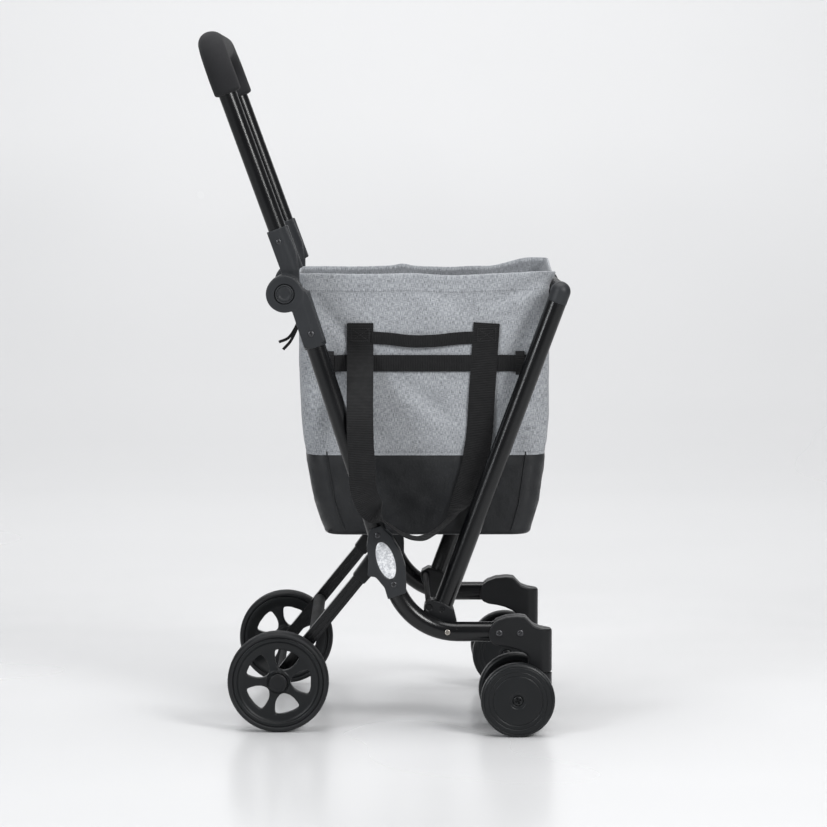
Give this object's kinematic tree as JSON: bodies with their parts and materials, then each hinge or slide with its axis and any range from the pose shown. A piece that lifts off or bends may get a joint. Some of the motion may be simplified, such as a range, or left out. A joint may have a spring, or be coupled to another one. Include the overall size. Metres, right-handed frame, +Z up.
{
  "type": "folding shopping trolley",
  "caption": "Four-wheeled folding trolley: front casters, larger rear wheels, an open fabric bag on a V-shaped tube frame and a tilting U-shaped push handle.",
  "frame": {"origin": "on the floor, under the middle of the trolley's bounding box", "axes": "+X the way it rolls forward, towards the casters; +Y to the pusher's left; +Z up"},
  "size_m": [0.5323, 0.5028, 1.0004],
  "materials": {
    "black_tube": "gloss",
    "moulded_plastic": "fine matte",
    "caster_wheel": "matte",
    "tyre": "matte",
    "grip_foam": "soft matte foam",
    "silver_inset": "satin silver",
    "zinc_steel": "satin",
    "grey_cloth": "heather weave",
    "black_cloth": "coated weave",
    "webbing": "ribbed webbing",
    "base_board": "matte"
  },
  "bodies": {
    "chassis": {"main_tube_left": "black_tube", "main_tube_right": "black_tube", "hinge_lower_left": "moulded_plastic", "hinge_lower_right": "moulded_plastic", "bracket_outer_left": "moulded_plastic", "bracket_outer_right": "moulded_plastic", "bracket_inner_shells": "moulded_plastic", "bracket_insets": "silver_inset", "fork_outer_left": "moulded_plastic", "fork_outer_right": "moulded_plastic", "fork_inner_shells": "moulded_plastic", "fork_bushes": "zinc_steel", "leg_pivot_shaft": "zinc_steel", "back_cross_tube": "black_tube", "hinge_pins": "zinc_steel", "front_pivot_bolts": "zinc_steel", "frame_screws": "zinc_steel", "bag_upper": "grey_cloth", "bag_lower": "black_cloth", "bag_base_board": "base_board", "bag_rim_hem": "black_cloth", "bag_carry_loops": "webbing", "bag_side_straps": "webbing", "button_spring_left": "zinc_steel", "button_spring_right": "zinc_steel"},
    "handle": {"handle_tube": "black_tube", "handle_grip": "grip_foam", "hinge_upper_left": "moulded_plastic", "hinge_upper_right": "moulded_plastic", "handle_screws": "zinc_steel"},
    "button_left": {"hinge_button_left": "moulded_plastic", "lock_gear_left": "zinc_steel"},
    "button_right": {"hinge_button_right": "moulded_plastic", "lock_gear_right": "zinc_steel"},
    "front_frame": {"front_tube_left": "black_tube", "front_tube_right": "black_tube", "front_elbows": "moulded_plastic", "front_top_bar": "black_tube", "front_end_brackets": "moulded_plastic", "front_rod_and_screws": "zinc_steel", "bag_front_sleeve": "black_cloth"},
    "rear_legs": {"leg_left": "black_tube", "leg_right": "black_tube", "leg_knuckles": "moulded_plastic", "leg_cross_tube": "black_tube", "rear_axle": "zinc_steel"},
    "rear_wheel_left": {"rear_rim_left": "moulded_plastic", "rear_tyre_left": "tyre", "rear_cap_left": "moulded_plastic"},
    "rear_wheel_right": {"rear_rim_right": "moulded_plastic", "rear_tyre_right": "tyre", "rear_cap_right": "moulded_plastic"},
    "caster_left": {"caster_body_left": "moulded_plastic", "caster_pins_left": "zinc_steel"},
    "caster_right": {"caster_body_right": "moulded_plastic", "caster_pins_right": "zinc_steel"},
    "caster_wheel_left_out": {"caster_wheel_left_outer": "caster_wheel"},
    "caster_wheel_left_in": {"caster_wheel_left_inner": "caster_wheel"},
    "caster_wheel_right_out": {"caster_wheel_right_outer": "caster_wheel"},
    "caster_wheel_right_in": {"caster_wheel_right_inner": "caster_wheel"}
  },
  "joints": [
    {"name": "handle_tilt", "type": "hinge", "parent": "chassis", "child": "handle", "pos_m": [-0.14126, 0, 0.62887], "axis": [0, -1, 0], "range_deg": [0, 45]},
    {"name": "button_press_left", "type": "slide", "parent": "chassis", "child": "button_left", "axis": [0, -1, 0], "range_m": [0, 0.004], "stiffness_N_per_m": 900, "springref_m": -0.002, "deforming": ["button_spring_left"]},
    {"name": "button_press_right", "type": "slide", "parent": "chassis", "child": "button_right", "axis": [0, 1, 0], "range_m": [0, 0.004], "stiffness_N_per_m": 900, "springref_m": -0.002, "deforming": ["button_spring_right"]},
    {"name": "front_frame_fold", "type": "hinge", "parent": "chassis", "child": "front_frame", "pos_m": [0.08995, 0, 0.14522], "axis": [0, -1, 0], "range_deg": [0, 38], "deforming": ["bag_upper", "bag_lower", "bag_rim_hem", "bag_carry_loops", "bag_side_straps"]},
    {"name": "rear_leg_fold", "type": "hinge", "parent": "chassis", "child": "rear_legs", "pos_m": [-0.00619, 0, 0.25303], "axis": [0, -1, 0], "range_deg": [0, 42]},
    {"name": "rear_wheel_spin_left", "type": "hinge", "parent": "rear_legs", "child": "rear_wheel_left", "pos_m": [-0.15251, 0.197, 0.07273], "axis": [0, 1, 0], "continuous": true},
    {"name": "rear_wheel_spin_right", "type": "hinge", "parent": "rear_legs", "child": "rear_wheel_right", "pos_m": [-0.15251, -0.197, 0.07273], "axis": [0, 1, 0], "continuous": true},
    {"name": "caster_swivel_left", "type": "hinge", "parent": "chassis", "child": "caster_left", "pos_m": [0.22295, 0.195, 0.087], "axis": [0, 0, 1], "continuous": true},
    {"name": "caster_swivel_right", "type": "hinge", "parent": "chassis", "child": "caster_right", "pos_m": [0.22295, -0.195, 0.087], "axis": [0, 0, 1], "continuous": true},
    {"name": "caster_spin_left_out", "type": "hinge", "parent": "caster_left", "child": "caster_wheel_left_out", "pos_m": [0.18945, 0.24, 0.053], "axis": [0, 1, 0], "continuous": true},
    {"name": "caster_spin_left_in", "type": "hinge", "parent": "caster_left", "child": "caster_wheel_left_in", "pos_m": [0.18945, 0.15, 0.053], "axis": [0, 1, 0], "continuous": true},
    {"name": "caster_spin_right_out", "type": "hinge", "parent": "caster_right", "child": "caster_wheel_right_out", "pos_m": [0.18945, -0.24, 0.053], "axis": [0, 1, 0], "continuous": true},
    {"name": "caster_spin_right_in", "type": "hinge", "parent": "caster_right", "child": "caster_wheel_right_in", "pos_m": [0.18945, -0.15, 0.053], "axis": [0, 1, 0], "continuous": true}
  ]
}
